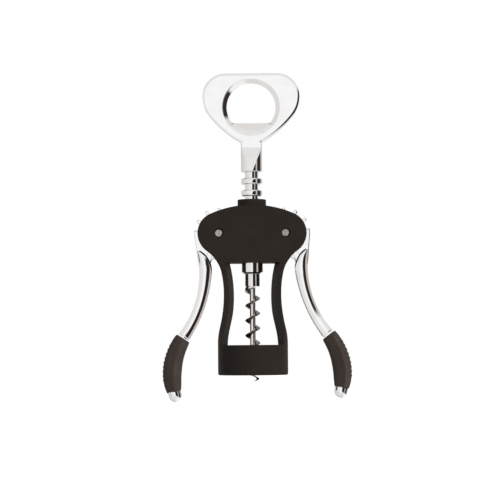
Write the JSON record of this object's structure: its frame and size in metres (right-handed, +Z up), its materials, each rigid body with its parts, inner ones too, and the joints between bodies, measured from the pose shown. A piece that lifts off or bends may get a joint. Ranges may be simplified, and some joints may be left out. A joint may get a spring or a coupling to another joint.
{
  "type": "wing corkscrew",
  "caption": "Wing corkscrew: a waisted frame with a bottle collar, geared side levers with soft grips, a ringed rack, a worm and a crown cap opener handle.",
  "frame": {"origin": "centre of the collar's open mouth, where it goes over the bottle", "axes": "+Z up along the worm and the handle, the front faces -Y, +X to the right seen from the front"},
  "size_m": [0.1044, 0.0384, 0.1815],
  "materials": {
    "frame_coat": "soft-touch matt coat on die-cast metal",
    "guide_plastic": "moulded, fine texture",
    "chrome": "bright chrome plate",
    "worm_plate": "bright nickel-chrome plate",
    "pin_steel": "peened steel",
    "washer_nylon": "natural nylon",
    "grip_rubber": "soft grip rubber, matt, ribbed outer edge"
  },
  "bodies": {
    "frame": {"frame": "frame_coat", "neck_guide": "guide_plastic", "left_pivot_pin": "pin_steel", "right_pivot_pin": "pin_steel", "left_washer_front": "washer_nylon", "left_washer_back": "washer_nylon", "right_washer_front": "washer_nylon", "right_washer_back": "washer_nylon"},
    "rack": {"rack_sleeve": "chrome"},
    "spindle": {"opener_handle": "chrome", "worm": "worm_plate", "handle_cross_pin": "pin_steel"},
    "left_lever": {"left_lever": "chrome", "left_grip": "grip_rubber", "left_end_cap": "chrome"},
    "right_lever": {"right_lever": "chrome", "right_grip": "grip_rubber", "right_end_cap": "chrome"}
  },
  "joints": [
    {"name": "left_lever_pivot", "type": "hinge", "parent": "frame", "child": "left_lever", "pos_m": [-0.0183, 0, 0.0778], "axis": [0, 1, 0], "range_deg": [0, 143]},
    {"name": "right_lever_pivot", "type": "hinge", "parent": "frame", "child": "right_lever", "pos_m": [0.0183, 0, 0.0778], "axis": [0, -1, 0], "range_deg": [0, 143]},
    {"name": "rack_slide", "type": "slide", "parent": "frame", "child": "rack", "axis": [0, 0, -1], "range_m": [0, 0.03103]},
    {"name": "worm_spin", "type": "hinge", "parent": "rack", "child": "spindle", "pos_m": [0, 0, 0.1], "axis": [0, 0, 1], "continuous": true}
  ],
  "couplings": [
    {"joint": "right_lever_pivot", "follows": "left_lever_pivot", "ratio": 1},
    {"joint": "rack_slide", "follows": "left_lever_pivot", "m_per_rad": 0.012414}
  ]
}
